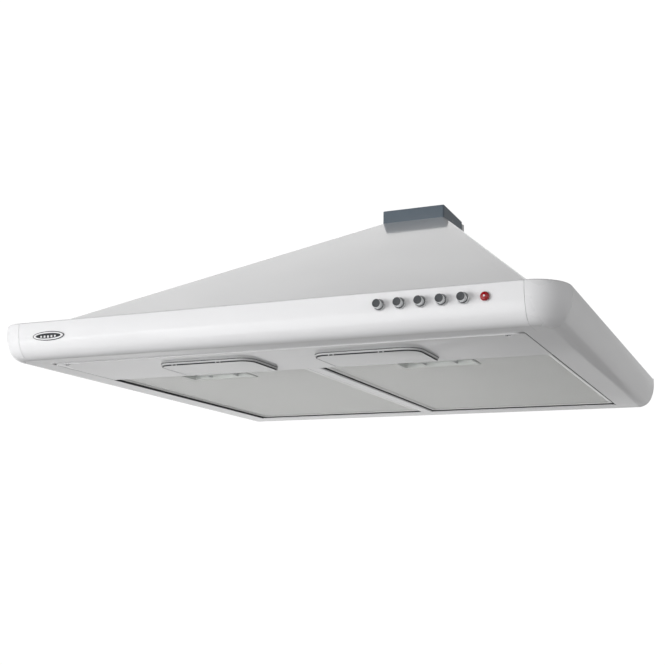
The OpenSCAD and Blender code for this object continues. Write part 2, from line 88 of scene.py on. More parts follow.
LEDGE = 30
BASE_HALF, BASE_FRONT = HALF - LEDGE, FRONT + LEDGE
BAND = 6.5  # upright band at the top of the rim
UPPER_R = 45
UPPER_TURN = 27  # degrees that the gentle upper curve turns
TOP_R = 1.8  # rolled top edge of the rim
SEAM = 0.2
CAP_GAP = 0.08  # between a panel's end and its corner cap
SLEEVE_WALL = 0.8  # from a button to the outside of its sleeve


# ---- shapes ----
def radians_between(a0, a1, steps):
    return [math.radians(a0 + (a1 - a0) * i / steps) for i in range(steps + 1)]


def all_round(steps):
    """Angles of a whole turn in equal steps."""
    return radians_between(0, 360 - 360 / steps, steps - 1)


def arc(cx, cy, r, a0, a1, steps):
    """Points on a circle from angle a0 to a1, in degrees."""
    return [(cx + r * math.cos(a), cy + r * math.sin(a)) for a in radians_between(a0, a1, steps)]


def rounded(x0, x1, y0, y1, r, front_r=None):
    """A rectangle with rounded corners. front_r is the radius of the two corners at y0, if it differs."""
    f = r if front_r is None else front_r
    return (
        arc(x0 + f, y0 + f, f, 180, 270, 6)
        + arc(x1 - f, y0 + f, f, 270, 360, 6)
        + arc(x1 - r, y1 - r, r, 0, 90, 6)
        + arc(x0 + r, y1 - r, r, 90, 180, 6)
    )


def mirrored(points):
    """The same points on the other side of x = 0, in the reverse order."""
    return [(-x, y) for x, y in reversed(points)]


def facing(origin, direction):
    """A frame at origin whose own +Z points along direction."""
    turn = Vector(direction).to_track_quat("Z", "Y").to_matrix().to_4x4()
    return Matrix.Translation(Vector(origin)) @ turn


FLAT = Matrix()


class Shape:
    """Collects closed solids in millimetres, and makes one object of them."""

    def __init__(self):
        self.verts = []
        self.faces = []

    def loft(self, rings, loop=False):
        """Joins closed rings of equally many points. loop joins the last ring to the first."""
        base, n = len(self.verts), len(rings[0])
        for ring in rings:
            self.verts += [tuple(p) for p in ring]
        for k in range(len(rings) if loop else len(rings) - 1):
            a, b = base + k * n, base + (k + 1) % len(rings) * n
            self.faces += [(a + i, a + (i + 1) % n, b + (i + 1) % n, b + i) for i in range(n)]
        if not loop:
            last = base + (len(rings) - 1) * n
            self.faces += [tuple(range(base, base + n))[::-1], tuple(range(last, last + n))]
        return self

    def slab(self, upper, lower):
        """A closed sheet between two grids of points of the same size."""
        base, rows, cols = len(self.verts), len(upper), len(upper[0])
        for grid in (upper, lower):
            for row in grid:
                self.verts += [tuple(p) for p in row]

        def at(grid, i, j):
            return base + (grid * rows + i) * cols + j

        for i in range(rows - 1):
            for j in range(cols - 1):
                self.faces.append((at(0, i, j), at(0, i, j + 1), at(0, i + 1, j + 1), at(0, i + 1, j)))
                self.faces.append((at(1, i, j), at(1, i + 1, j), at(1, i + 1, j + 1), at(1, i, j + 1)))
        rim = [(0, j) for j in range(cols)] + [(i, cols - 1) for i in range(1, rows)]
        rim += [(rows - 1, j) for j in range(cols - 2, -1, -1)] + [(i, 0) for i in range(rows - 2, 0, -1)]
        for k, a in enumerate(rim):
            b = rim[(k + 1) % len(rim)]
            self.faces.append((at(0, *a), at(1, *a), at(1, *b), at(0, *b)))
        return self

    def prism(self, outline, place, h0, h1, edge=0.0):
        """An outline between two heights of the frame place, with chamfered edges."""
        cx = sum(p[0] for p in outline) / len(outline)
        cy = sum(p[1] for p in outline) / len(outline)
        reach = max(max(abs(p[0] - cx), abs(p[1] - cy)) for p in outline)
        k = 1 - edge / reach
        small = [(cx + (x - cx) * k, cy + (y - cy) * k) for x, y in outline]
        levels = [(outline, h0), (outline, h1)]
        if edge:
            levels = [(small, h0), (outline, h0 + edge), (outline, h1 - edge), (small, h1)]
        return self.loft([[place @ Vector((x, y, h)) for x, y in points] for points, h in levels])

    def block(self, x0, x1, y0, y1, z0, z1, edge=0.0):
        """A box with soft edges."""
        e = min(edge, (x1 - x0) / 2.5, (y1 - y0) / 2.5, (z1 - z0) / 2.5)
        rings = []
        for z, inset in ((z0, e), (z0 + e, 0), (z1 - e, 0), (z1, e)) if e else ((z0, 0), (z1, 0)):
            c = max(e - inset, 0) * 0.6 + 0.01
            xa, xb, ya, yb = x0 + inset, x1 - inset, y0 + inset, y1 - inset
            near = [(xa + c, ya), (xb - c, ya), (xb, ya + c)]
            far = [(xb, yb - c), (xb - c, yb), (xa + c, yb), (xa, yb - c), (xa, ya + c)]
            rings.append([(x, y, z) for x, y in near + far])
        return self.loft(rings)

    def lathe(self, profile, place, steps=48, loop=False):
        """Turns (radius, height) points round the +Z of place."""
        rings = []
        for radius, h in profile:
            r = max(radius, 0.02)
            rings.append([place @ Vector((r * math.cos(a), r * math.sin(a), h)) for a in all_round(steps)])
        return self.loft(rings, loop)

    def frame_sweep(self, rect, profile, r):
        """Sweeps (inset, height) points round a rounded rectangle (x0, x1, y0, y1)."""
        x0, x1, y0, y1 = rect
        rings = []
        for o, z in profile:
            outline = rounded(x0 + o, x1 - o, y0 + o, y1 - o, max(r - o, 0.1))
            rings.append([(x, y, z) for x, y in outline])
        return self.loft(rings, loop=True)

    def tube(self, path, radius, sides):
        """A round wire along points."""
        points = [Vector(p) for p in path]
        rings, side = [], None
        for i, p in enumerate(points):
            ahead = points[min(i + 1, len(points) - 1)]
            behind = points[max(i - 1, 0)]
            along = (ahead - behind).normalized()
            side = along.orthogonal() if side is None else side - along * side.dot(along)
            side.normalize()
            up = along.cross(side)
            rings.append([p + (side * math.cos(a) + up * math.sin(a)) * radius for a in all_round(sides)])
        return self.loft(rings)

    def make(self, name, finish, body="hood", replaces=(), sharp=32):
        """Makes the object, in metres. Edges that bend by more than sharp degrees stay sharp."""
        mesh = bpy.data.meshes.new(name)
        mesh.from_pydata([[c * MM for c in vert] for vert in self.verts], [], self.faces)
        work = bmesh.new()
        work.from_mesh(mesh)
        bmesh.ops.recalc_face_normals(work, faces=work.faces)
        work.to_mesh(mesh)
        work.free()
        mesh.shade_smooth()
        mesh.set_sharp_from_angle(angle=math.radians(sharp))
        mesh.materials.append(look[finish])
        piece = bpy.data.objects.new(name, mesh)
        bpy.context.scene.collection.objects.link(piece)
        weights = piece.modifiers.new("normals", "WEIGHTED_NORMAL")
        weights.keep_sharp = True
        if body is None:
            return piece
        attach(piece, body)
        if replaces:
            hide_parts(*([replaces] if isinstance(replaces, str) else replaces))
        return piece


def carve(piece, cutter):
    """Cuts a Shape out of a piece's mesh."""
    tool = cutter.make("cutter", piece.data.materials[0]["slot"], body=None)
    cut = piece.modifiers.new("cut", "BOOLEAN")
    cut.operation = "DIFFERENCE"
    cut.solver = "EXACT"
    cut.use_self = True
    cut.object = tool
    piece.modifiers.move(len(piece.modifiers) - 1, 0)
    for modifier in piece.modifiers[1:]:
        modifier.show_viewport = False
    graph = bpy.context.evaluated_depsgraph_get()
    done = bpy.data.meshes.new_from_object(piece.evaluated_get(graph))
    piece.modifiers.remove(cut)
    for modifier in piece.modifiers:
        modifier.show_viewport = True
    piece.data = done
    bpy.data.objects.remove(tool)


# ---- materials ----
def link(tree, out, into):
    tree.links.new(out, into)


def material(
    name, colour, rough, metal=0.0, vary=0.03, patch=9.0, grain=450.0, bump=0.03, spread=0.05,
    stretch=(1, 1, 1), cells=False, edge=None, edge_width=0.5, **sockets
):
    """A procedural finish: patches of colour, fine grain in the bump, uneven roughness and worn edges.
    patch and grain are noise scales for each metre, bump and edge_width are in millimetres."""
    made = bpy.data.materials.new(name)
    made["slot"] = name
    made.use_nodes = True
    tree = made.node_tree
    shader = tree.nodes["Principled BSDF"]
    new = tree.nodes.new
    place = new("ShaderNodeTexCoord")
    scale = new("ShaderNodeMapping")
    scale.inputs["Scale"].default_value = stretch
    link(tree, place.outputs["Object"], scale.inputs["Vector"])
    if cells:
        clouds = new("ShaderNodeTexVoronoi")
        clouds.inputs["Scale"].default_value = patch
        spots = new("ShaderNodeSeparateColor")
        link(tree, clouds.outputs["Color"], spots.inputs["Color"])
        cloud_value = spots.outputs["Red"]
    else:
        clouds = new("ShaderNodeTexNoise")
        clouds.inputs["Scale"].default_value = patch
        clouds.inputs["Detail"].default_value = 5
        cloud_value = clouds.outputs["Fac"]
    link(tree, scale.outputs["Vector"], clouds.inputs["Vector"])
    fine = new("ShaderNodeTexNoise")
    fine.inputs["Scale"].default_value = grain
    fine.inputs["Detail"].default_value = 3
    link(tree, scale.outputs["Vector"], fine.inputs["Vector"])

    ramp = new("ShaderNodeValToRGB")
    low, high = ramp.color_ramp.elements
    low.position, high.position = (0.1, 0.9) if cells else (0.35, 0.65)
    low.color = [c * (1 - vary) for c in colour] + [1]
    high.color = [min(c * (1 + vary), 1) for c in colour] + [1]
    link(tree, cloud_value, ramp.inputs["Fac"])
    colour_out = ramp.outputs["Color"]
    if edge:
        bent = new("ShaderNodeBevel")
        bent.samples = 3
        bent.inputs["Radius"].default_value = edge_width * MM
        flat = new("ShaderNodeNewGeometry")
        dot = new("ShaderNodeVectorMath")
        dot.operation = "DOT_PRODUCT"
        link(tree, bent.outputs["Normal"], dot.inputs[0])
        link(tree, flat.outputs["Normal"], dot.inputs[1])
        worn = new("ShaderNodeMapRange")
        worn.inputs["From Min"].default_value = 0.98
        worn.inputs["From Max"].default_value = 0.80
        link(tree, dot.outputs["Value"], worn.inputs["Value"])
        broken = new("ShaderNodeMath")
        broken.operation = "MULTIPLY"
        link(tree, worn.outputs["Result"], broken.inputs[0])
        link(tree, fine.outputs["Fac"], broken.inputs[1])
        mix = new("ShaderNodeMix")
        mix.data_type = "RGBA"
        link(tree, broken.outputs["Value"], mix.inputs[0])
        link(tree, colour_out, mix.inputs[6])
        mix.inputs[7].default_value = (*edge, 1)
        colour_out = mix.outputs[2]
    link(tree, colour_out, shader.inputs["Base Color"])

    gloss = new("ShaderNodeMapRange")
    gloss.inputs["From Min"].default_value = 0.3
    gloss.inputs["From Max"].default_value = 0.7
    gloss.inputs["To Min"].default_value = max(rough - spread, 0.02)
    gloss.inputs["To Max"].default_value = min(rough + spread, 1)
    link(tree, cloud_value, gloss.inputs["Value"])
    link(tree, gloss.outputs["Result"], shader.inputs["Roughness"])
    relief = new("ShaderNodeBump")
    relief.inputs["Distance"].default_value = bump * MM
    relief.inputs["Strength"].default_value = 0.6
    link(tree, fine.outputs["Fac"], relief.inputs["Height"])
    link(tree, relief.outputs["Normal"], shader.inputs["Normal"])
    shader.inputs["Metallic"].default_value = metal
    for socket, value in sockets.items():
        shader.inputs[socket.replace("_", " ")].default_value = value
    return made


LOOKS = {
    "white_paint": dict(
        colour=(0.83, 0.83, 0.84), rough=0.34, vary=0.012, bump=0.01, edge=(0.72, 0.72, 0.72),
        Coat_Weight=0.9, Coat_Roughness=0.07,
    ),
    "white_plastic": dict(
        colour=(0.82, 0.82, 0.83), rough=0.3, vary=0.015, bump=0.008, edge=(0.74, 0.74, 0.74),
        Coat_Weight=0.4, Coat_Roughness=0.08,
    ),
    "zinc_steel": dict(
        colour=(0.66, 0.67, 0.68), rough=0.38, metal=0.9, vary=0.06, patch=90, cells=True, bump=0.01,
        spread=0.1, edge=(0.8, 0.8, 0.8),
    ),
    "filter_aluminium": dict(
        colour=(0.985, 0.992, 0.97), rough=0.3, metal=0.02, vary=0.004, patch=12, bump=0.005, spread=0.02,
        Coat_Weight=1.0, Coat_Roughness=0.14, Coat_IOR=2.05,
    ),
    "handle_plastic": dict(colour=(0.8, 0.82, 0.8), rough=0.45, vary=0.03, bump=0.03, edge=(0.7, 0.7, 0.7)),
    "dark_plastic": dict(
        colour=(0.03, 0.032, 0.035), rough=0.6, vary=0.1, bump=0.04, edge=(0.16, 0.16, 0.17),
    ),
    "slate_plastic": dict(
        colour=(0.088, 0.118, 0.148), rough=0.42, vary=0.06, bump=0.02, edge=(0.24, 0.28, 0.32),
        Coat_Weight=0.2, Coat_Roughness=0.2,
    ),
    "clear_plastic": dict(
        colour=(0.97, 0.98, 0.98), rough=0.16, vary=0.01, bump=0.03, IOR=1.55, Transmission_Weight=0.35,
        Coat_Weight=0.5,
    ),
    "white_ceramic": dict(
        colour=(0.8, 0.79, 0.75), rough=0.22, vary=0.02, bump=0.01, edge=(0.6, 0.58, 0.53),
    ),
    "bulb_glass": dict(
        colour=(0.95, 0.95, 0.93), rough=0.08, vary=0.01, bump=0.0, IOR=1.5, spread=0.02,
        Transmission_Weight=0.75,
    ),
    "button_finish": dict(
        colour=(0.065, 0.07, 0.075), rough=0.4, vary=0.12, patch=600, bump=0.02, edge=(0.3, 0.3, 0.3),
        edge_width=0.25,
    ),
    "chrome_trim": dict(
        colour=(0.82, 0.83, 0.84), rough=0.1, metal=1.0, vary=0.04, patch=200, bump=0.004, spread=0.04,
        edge=(0.95, 0.95, 0.95),
    ),
    "bright_steel": dict(
        colour=(0.66, 0.67, 0.68), rough=0.27, metal=1.0, vary=0.06, patch=60, bump=0.01, stretch=(1, 1, 6),
        edge=(0.85, 0.85, 0.85),
    ),
    "red_lens": dict(
        colour=(0.36, 0.0, 0.006), rough=0.15, vary=0.08, patch=300, bump=0.01, IOR=1.49,
        Transmission_Weight=0.12, Coat_Weight=0.8,
    ),
    "motor_paint": dict(
        colour=(0.11, 0.115, 0.12), rough=0.5, vary=0.1, patch=40, bump=0.05, edge=(0.35, 0.35, 0.34),
    ),
    "box_plastic": dict(colour=(0.72, 0.72, 0.69), rough=0.4, vary=0.03, bump=0.03, edge=(0.8, 0.8, 0.78)),
    "studio_floor": dict(colour=(0.8, 0.8, 0.8), rough=0.7, vary=0.01, patch=2, grain=60, bump=0.05),
}
look = {name: material(name, **values) for name, values in LOOKS.items()}

def dress(node, finish):
    """Gives a CAD node its finish and soft edges. Its mesh stays as packed."""
    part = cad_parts[node]
    part.data.materials.clear()
    part.data.materials.append(look[finish])
    if part.data.has_custom_normals:
        part.data.attributes.remove(part.data.attributes["custom_normal"])
    part.data.shade_smooth()
    weld = part.modifiers.new("weld", "WELD")
    weld.merge_threshold = 0.01 * MM
    bevel = part.modifiers.new("edges", "BEVEL")
    bevel.width = 0.3 * MM
    bevel.segments = 2
    bevel.limit_method = "ANGLE"
    bevel.angle_limit = math.radians(40)
    bevel.harden_normals = True


# ---- rim ----
def rim_curve(t):
    """The rim's outline as (inset, height), moved inwards by t."""
    turn = math.radians(UPPER_TURN)
    arc_z = RIM_TOP - BAND
    turn_z = arc_z - UPPER_R * math.sin(turn)
    lower_r = (turn_z - UNDER) / (1 - math.sin(turn))
    lower_u = UPPER_R * (1 - math.cos(turn)) + lower_r * math.cos(turn)
    top = arc(TOP_R, RIM_TOP - TOP_R, TOP_R - t, 90, 180, 5)
    gentle = arc(UPPER_R, arc_z, UPPER_R - t, 180, 180 + UPPER_TURN, 12)
    tight = arc(lower_u, UNDER + lower_r, lower_r - t, 180 + UPPER_TURN, 270, 16)
    return top + gentle + tight[1:]


def rim_section(flange, t):
    """The closed section of the rim's sheet. t pulls the outline in at a seam, but not at the flat flange."""
    outer = []
    for (u, z), (v, w) in zip(rim_curve(0), rim_curve(t)):
        k = min(1, max(0, (z - UNDER) / 4))
        outer.append((u + (v - u) * k, z + (w - z) * k))
    back = rim_curve(SHEET)
    if flange:
        outer.append((flange, UNDER))
        back.append((flange, UNDER + SHEET))
    return outer + back[::-1]


def shell_between(place_at, start, stop, flange, steps, step=None):
    """Sweeps the rim's section between two stations, with a soft edge at both seams.
    step is (station, narrow): the flange is that narrow up to the station."""
    places = [start + (stop - start) * i / steps for i in range(1, steps)]
    if step:
        places += [step[0] - 0.02, step[0] + 0.02]
    stations = [(start, SEAM), (start + SEAM, 0)] + [(s, 0) for s in sorted(places)]
    stations += [(stop - SEAM, 0), (stop, SEAM)]
    rings = []
    for s, t in stations:
        reach = step[1] if step and s < step[0] else flange
        rings.append([place_at(s, u, z) for u, z in rim_section(reach, t)])
    return Shape().loft(rings)


def on_front(box):
    """A frame on the front panel's face at the height of a box, facing out."""
    centre = middle(box)
    return facing((centre.x, FRONT, centre.z), (0, -1, 0))


def build_front_panel():
    end = HALF - CORNER - CAP_GAP
    panel = shell_between(lambda x, u, z: (x, FRONT + u, z), -end, end, FLANGE_Y, 90)
    panel = panel.make("front_panel_shell", "white_paint", replaces="front_panel")
    holes = Shape()
    deep, out = -12, 5
    for box in BUTTONS.values():
        holes.lathe([(BUTTON_R + SLEEVE_WALL, deep), (BUTTON_R + SLEEVE_WALL, out)], on_front(box), 40)
    holes.lathe([(3.55, deep), (3.55, out)], on_front(INDICATOR), 40)
    carve(panel, holes)


def build_side_panel(name, s):
    start = FRONT + CORNER + CAP_GAP
    narrow_to = (FRONT + FLANGE_Y + 0.1, CORNER)
    shell = shell_between(
        lambda y, u, z: (s * (HALF - u), y, z), start, -SHEET - 0.1, FLANGE_X, 60, narrow_to
    )
    x0, x1 = sorted((s * LIP_X, s * (LIP_X + SHEET)))
    shell.block(x0, x1, LAMP_PANEL[1].y + 0.5, REAR_RAIL[0].y, UNDER + SHEET * 0.9, UNDER + 9, 0.3)
    shell.make(f"side_shell_{name}", "white_paint", replaces=f"side_panel_{name}")


def build_corner(name, s):
    """The moulded cap of a front corner, and the flat sheet that closes it below."""
    centre = Vector((s * (HALF - CORNER), FRONT + CORNER, 0))

    def around(a, u, z):
        r = CORNER - u - 0.06
        return centre + Vector((s * r * math.sin(math.radians(a)), -r * math.cos(math.radians(a)), z))

    gap = 0.2  # degrees left open at both ends
    stations = [(gap, SEAM), (gap + 0.5, 0)] + [(4 * i, 0) for i in range(1, 22)]
    stations += [(89.5 - gap, 0), (90 - gap, SEAM)]
    cap = Shape().loft([[around(a, u, z) for u, z in rim_section(0, t)] for a, t in stations])
    cap.make(f"corner_cap_shell_{name}", "white_plastic", replaces=f"corner_cap_{name}")

    flat_r = CORNER - rim_curve(0)[-1][0] - 0.35
    disc = [(0, 0)] + [(s * flat_r * math.sin(a), -flat_r * math.cos(a)) for a in radians_between(0, 90, 16)]
    floor = Shape().prism(disc, Matrix.Translation(centre), UNDER, UNDER + SHEET)
    floor.make(f"corner_floor_{name}", "white_paint")


# ---- canopy ----
def canopy_row(half, front, r, z):
    """Points from the wall round the front and back to the wall, at one height."""
    left = [(-half, -SHEET - 0.05), (-half, front + r + 3)] + arc(-half + r, front + r, r, 180, 270, 7)
    return [(x, y, z) for x, y in left + mirrored(left)]


def on_slope(k):
    """The pyramid's half width, front and height at a part k of the way up."""
    return (
        BASE_HALF + (TOP_HALF - BASE_HALF) * k,
        BASE_FRONT + (TOP_FRONT - BASE_FRONT) * k,
        RIM_TOP + (TOP_Z - RIM_TOP) * k,
    )


def build_canopy():
    fold, edge = 0.45, SHEET + 0.15
    inner = edge + fold
    rows = [
        (HALF - edge, FRONT + edge, CORNER - edge, RIM_TOP - fold),
        (HALF - inner, FRONT + inner, CORNER - inner, RIM_TOP),
    ]
    bend_out, bend_up, bend_r, bend_steps = 4, 0.018, 3, 6
    up_half, up_front, up_z = on_slope(bend_up)
    for i in range(bend_steps + 1):
        t = i / bend_steps
        a, b, c = (1 - t) ** 2, 2 * t * (1 - t), t * t
        half = a * (BASE_HALF + bend_out) + b * BASE_HALF + c * up_half
        front = a * (BASE_FRONT - bend_out) + b * BASE_FRONT + c * up_front
        rows.append((half, front, bend_r + (1 - t) * 2, (a + b) * RIM_TOP + c * up_z))
    for i in range(1, 9):
        half, front, z = on_slope(bend_up + (1 - bend_up) * i / 8)
        rows.append((half, front, bend_r, z))
    upper = [canopy_row(*row) for row in rows]
    lower = [[(x, y, z - SHEET * 1.15) for x, y, z in row] for row in upper]
    Shape().slab(upper, lower).make("canopy_skin", "white_paint", replaces="canopy_shell")


# ---- underside ----
def build_lamp_panel():
    low, high = LAMP_PANEL
    thick, turn_r = 1.2, 11
    panel = Shape()
    panel.prism(rounded(low.x, high.x, low.y, high.y, 1, turn_r), FLAT, UNDER, UNDER + thick)
    hem = 1.2  # how far the front edge is folded down
    fold = [(0.1, 0.4), (0.2, -0.6 * hem), (0.8, -hem), (1.6, -hem), (2.6, -0.4 * hem), (3.4, 0.4)]
    rows = []
    for inset, rise in fold:
        left = arc(low.x + turn_r, low.y + turn_r, turn_r - inset, 215, 270, 8)
        rows.append([(x, y, UNDER + rise) for x, y in left + mirrored(left)])
    panel.loft([list(ring) for ring in zip(*rows)])
    panel.block(low.x, high.x, high.y - thick, high.y, UNDER + thick * 0.9, high.z, 0.2)
    panel = panel.make("lamp_panel_sheet", "white_paint", replaces="lamp_panel")
    holes = Shape()
    for name in SIDES:
        start, stop = COVERS[name]
        x0, x1, y1 = start.x + 7.5, stop.x - 7.5, stop.y - 1
        holes.prism(rounded(x0, x1, y1 - 54, y1, 6), FLAT, UNDER - 3, UNDER + 4)
    carve(panel, holes)


def screw(place, head_r, head_h, shank_r, shank_l):
    """A pan head screw that points along -Z of place."""
    dome = [(0, head_h)]
    dome += [(head_r * math.sin(a), head_h * (0.35 + 0.65 * math.cos(a))) for a in radians_between(12, 90, 7)]
    shank = [(head_r, 0), (shank_r, 0), (shank_r, -shank_l + shank_r), (0.2 * shank_r, -shank_l)]
    return Shape().lathe(dome + shank, place, 28)


def cross(place, size, depth, top):
    """The recess of a cross-head screw, as a Shape to cut with."""
    w, h = size * 0.16, size / 2
    arm = [(-w, -h), (w, -h), (w, -w)]
    outline = []
    for _ in range(4):
        outline += arm
        arm = [(-y, x) for x, y in arm]
    return Shape().prism(outline, place, top - depth, top + 2)


def build_panel_screws():
    low, high = mm(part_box("panel_screws"))
    head_r, head_h = 3.4, 1.4
    for name, s in SIDES.items():
        place = facing((s * (high.x - head_r), (low.y + high.y) / 2, UNDER), (0, 0, -1))
        shape = screw(place, head_r, head_h, 1.7, 8)
        piece = shape.make(f"panel_screw_{name}", "chrome_trim", replaces="panel_screws")
        carve(piece, cross(place, 4.2, 1.1, head_h))


def build_gap_shade():
    """Dark strips in the gaps round the filters: painted shade where the gaps fall in shadow."""
    thick, z0, z1 = 0.75, UNDER + 0.7, UNDER + 8.6
    y0, y1 = CENTRE_RAIL[0].y + 1, REAR_RAIL[0].y
    gap_shade_strips = Shape()
    for s in (-1, 1):
        for x, way in ((s * LIP_X, -s), (s * CENTRE_RAIL[1].x, s)):
            a, b = sorted((x - way * 0.02, x + way * thick))
            gap_shade_strips.block(a, b, y0, y1 - 0.5, z0, z1, 0.15)
        edge = s * LIP_X
        for start, stop, reach in ((LAMP_PANEL[0].y + 7, y0, 0.35), (y0, y1, 0.6)):
            gap_shade_strips.block(edge - reach, edge + reach, start, stop, UNDER - 0.06, UNDER + 0.6)
    gap_shade_strips.block(REAR_RAIL[0].x + 1, REAR_RAIL[1].x - 1, y1 - thick, y1 + 0.02, z0, z1, 0.15)
    gap_shade_strips.make("gap_painted_shade", "dark_plastic")


def build_rear_rail():
    low, high = REAR_RAIL
    section = [(high.y, UNDER), (high.y, UNDER + SHEET), (low.y + SHEET, UNDER + SHEET)]
    section += [(low.y + SHEET, high.z), (low.y, high.z)] + arc(low.y + 1.6, UNDER + 1.6, 1.6, 180, 270, 6)
    rail = Shape().loft([[(x, y, z) for y, z in section] for x in (low.x, high.x)])
    rail.make("rear_rail_sheet", "white_paint", replaces="rear_rail")


def build_centre_rail():
    low, high = CENTRE_RAIL
    r = 2

    def half_turned(inset):
        left = [(low.x + inset, high.z)] + arc(low.x + r, UNDER + r, r - inset, 180, 270, 6)
        return left + arc(high.x - r, UNDER + r, r - inset, 270, 360, 6) + [(high.x - inset, high.z)]

    section = half_turned(0) + half_turned(SHEET)[::-1]
    rail = Shape().loft([[(x, y, z) for x, z in section] for y in (low.y, high.y)])
    rail.make("centre_rail_channel", "white_paint", replaces="centre_rail")


# ---- filters ----
DIAMOND_X = 5.4  # length of a diamond of the expanded mesh
DIAMOND_Y = 3.2  # its depth
PIN = 3.2  # how far the hinge pins stand out of the frame


def filter_rect(name):
    """The outline of a filter's frame without its pins, as (x0, x1, y0, y1)."""
    low, high = mm(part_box(f"filter_frame_{name}"))
    return low.x + PIN, high.x - PIN, low.y, high.y


def latch_slot(name, y0, y1):
    """The slot that the latch's tongue slides through, as a Shape to cut with."""
    x = middle(CUPS[name]).x
    return Shape().block(x - 12.3, x + 12.3, y0, y1, UNDER + 6.9, UNDER + 8.5)


def build_filter_frame(name):
    low, high = mm(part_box(f"filter_frame_{name}"))
    x0, x1, y0, y1 = filter_rect(name)
    z0, z1, bar = low.z, high.z, 5
    rim = Shape()
    lip = [(0, 1.2), (0.4, 0.3), (1.2, 0), (bar - 0.8, 0), (bar, 0.5), (bar, 1), (1, 1)]  # (inset, depth)
    upper, lower = [(o, z1 - d) for o, d in lip], [(o, z0 + d) for o, d in reversed(lip)]
    rim.frame_sweep((x0, x1, y0, y1), upper + lower, 3)
    for x, way in ((x0, -1), (x1, 1)):
        place = facing((x - way * 2, y1 - 2.5, UNDER + 4), (way, 0, 0))
        rim.lathe([(1.5, 0), (1.5, PIN + 1.6), (1.1, PIN + 2)], place, 20)
    rim = rim.make(f"filter_rim_{name}", "filter_aluminium", f"filter_{name}", f"filter_frame_{name}")
    carve(rim, latch_slot(name, y0 - 1, y0 + 3))

    # A thin dark band round the frame: painted shade in the gap round the filter.
    shade_band = Shape()
    rect = (x0 - 0.25, x1 + 0.25, y0 - 0.1, y1 + 0.25)
    shade_band.frame_sweep(rect, [(0, z0 + 1.6), (0, z1 - 1.6), (0.35, z1 - 1.4), (0.35, z0 + 1.4)], 3)
    shade_band.make(f"filter_shade_band_{name}", "dark_plastic", f"filter_{name}")


def build_filter_mesh(name):
    """Zigzag strands that cross into diamonds, with a sheet close behind them."""
    x0, x1, y0, y1 = filter_rect(name)
    left, right, near, far = x0 + 2, x1 - 2, y0 + 2, y1 - 2
    cup_low, cup_high = CUPS[name]
    cup_left, cup_right, cup_far = cup_low.x - 1, cup_high.x + 1, cup_high.y + 1
    mesh_z = middle(mm(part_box(f"filter_mesh_{name}"))).z
    width, thick, wave = 0.42, 0.1, 0.08
    columns = int((right - left) / (DIAMOND_X / 2))
    rows = int((far - near) / (DIAMOND_Y / 2))

    def section(x, y, z):
        upper = [(x, y + width * 0.4, z + thick), (x, y + width, z + thick)]
        return [(x, y - width, z - thick)] + upper + [(x, y - width * 0.4, z - thick)]

    mesh = Shape()
    for j in range(rows + 1):
        y = near + (far - near) * j / rows
        runs = [[]]
        for i in range(columns + 1):
            x = left + (right - left) * i / columns
            way = 1 if (i + j) % 2 else -1
            if not (cup_left < x < cup_right and y < cup_far):
                runs[-1].append((x, y + way * DIAMOND_Y / 4, mesh_z + way * wave))
            elif runs[-1]:
                runs.append([])
        for run in runs:
            if len(run) > 2:
                mesh.loft([section(*point) for point in run])
    beside = (near, cup_far - 0.1)
    for a, b, c, d in ((left, right, cup_far, far), (left, cup_left, *beside), (cup_right, right, *beside)):
        mesh.block(a, b, c, d, mesh_z - 0.04, mesh_z + 0.5)
    body = f"filter_{name}"
    mesh.make(f"filter_mesh_sheet_{name}", "filter_aluminium", body, f"filter_mesh_{name}", sharp=20)


def build_handle_cup(name):
    low, high = CUPS[name]
    wall = 1.2
    floor_z = high.z - wall
    cup = Shape()
    outside = [(0, high.z - 0.6), (0, low.z + 0.3), (0.3, low.z - 0.1), (wall + 0.8, low.z - 0.1)]
    inside = [(wall + 1.2, low.z + 0.2), (wall + 1.6, floor_z - 1), (wall + 2.4, floor_z), (6, floor_z)]
    cup.frame_sweep((low.x, high.x, low.y, high.y), outside + inside + [(6, high.z), (0.6, high.z)], 4)
    cup.prism(rounded(low.x + 5, high.x - 5, low.y + 5, high.y - 5, 2), FLAT, floor_z, high.z)
    for i in range(5):
        y = high.y - 6 - i * 2.2
        cup.block(low.x + 10, high.x - 10, y, y + 0.8, floor_z - 0.5, high.z - wall * 0.5, 0.2)
    cup = cup.make(f"filter_handle_{name}", "handle_plastic", f"filter_{name}", f"handle_cup_{name}")
    carve(cup, latch_slot(name, low.y - 1, low.y + 3.2))


def build_latch(name):
    low, high = mm(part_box(f"latch_{name}"))
    x, y0 = middle(CUPS[name]).x, CUPS[name][0].y + 2
    y1 = y0 + 12
    slider = Shape()
    slider.prism(rounded(low.x, high.x, y0, y1, 1.5), FLAT, UNDER + 2.6, UNDER + 7.8, 0.35)
    slider.block(x - 12, x + 12, low.y, y0 + 1, UNDER + 7.2, UNDER + 8.2, 0.15)
    slider = slider.make(f"latch_slider_{name}", "handle_plastic", f"latch_{name}", f"latch_{name}")
    pocket = rounded(x - 13, x + 13, y0 + 2.6, y1 - 2.6, 2)
    carve(slider, Shape().prism(pocket, FLAT, UNDER, UNDER + 6.6))
    grip = Shape()
    grip.prism(rounded(x - 12.6, x + 12.6, y0 + 3, y1 - 3, 1.6), FLAT, UNDER + 6.2, UNDER + 6.7, 0.1)
    for i in range(9):
        rib = x - 10 + i * 2.5
        grip.block(rib - 0.4, rib + 0.4, y0 + 3.2, y1 - 3.2, UNDER + 5.7, UNDER + 6.4, 0.15)
    grip.make(f"latch_grip_{name}", "dark_plastic", f"latch_{name}")


